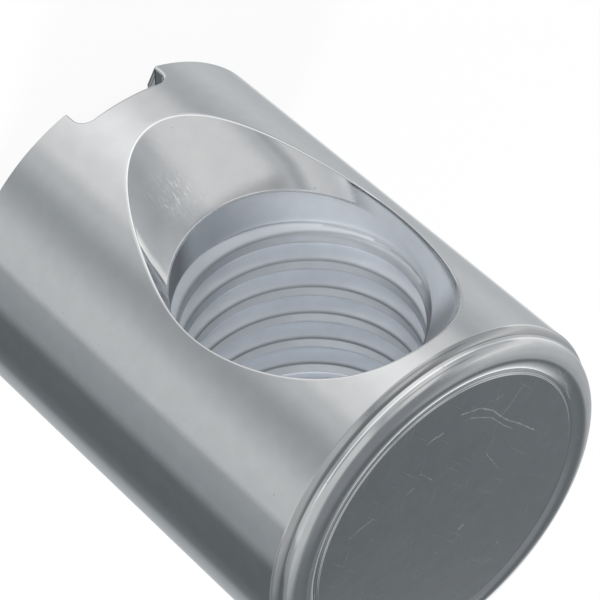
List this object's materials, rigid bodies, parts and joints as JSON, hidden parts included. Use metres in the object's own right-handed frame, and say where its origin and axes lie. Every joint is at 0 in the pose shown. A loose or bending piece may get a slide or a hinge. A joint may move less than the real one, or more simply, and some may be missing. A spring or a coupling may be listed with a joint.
{
  "type": "cross dowel nut",
  "caption": "Barrel nut for knock-down furniture: a slotted metal dowel whose cross hole is threaded and funnelled to take and guide a bolt.",
  "frame": {"origin": "centre of the slotted end, which is down, at the foot of the barrel's axis", "axes": "+Z along the barrel from the slotted end to the raised disc, the threaded hole along Y with its funnel facing -Y, +X across the slot"},
  "size_m": [0.0098, 0.0098, 0.013],
  "materials": {
    "zinc_steel": "bright zinc plate on smooth drawn steel"
  },
  "bodies": {
    "root": {"cross_dowel_nut": "zinc_steel"}
  },
  "joints": []
}
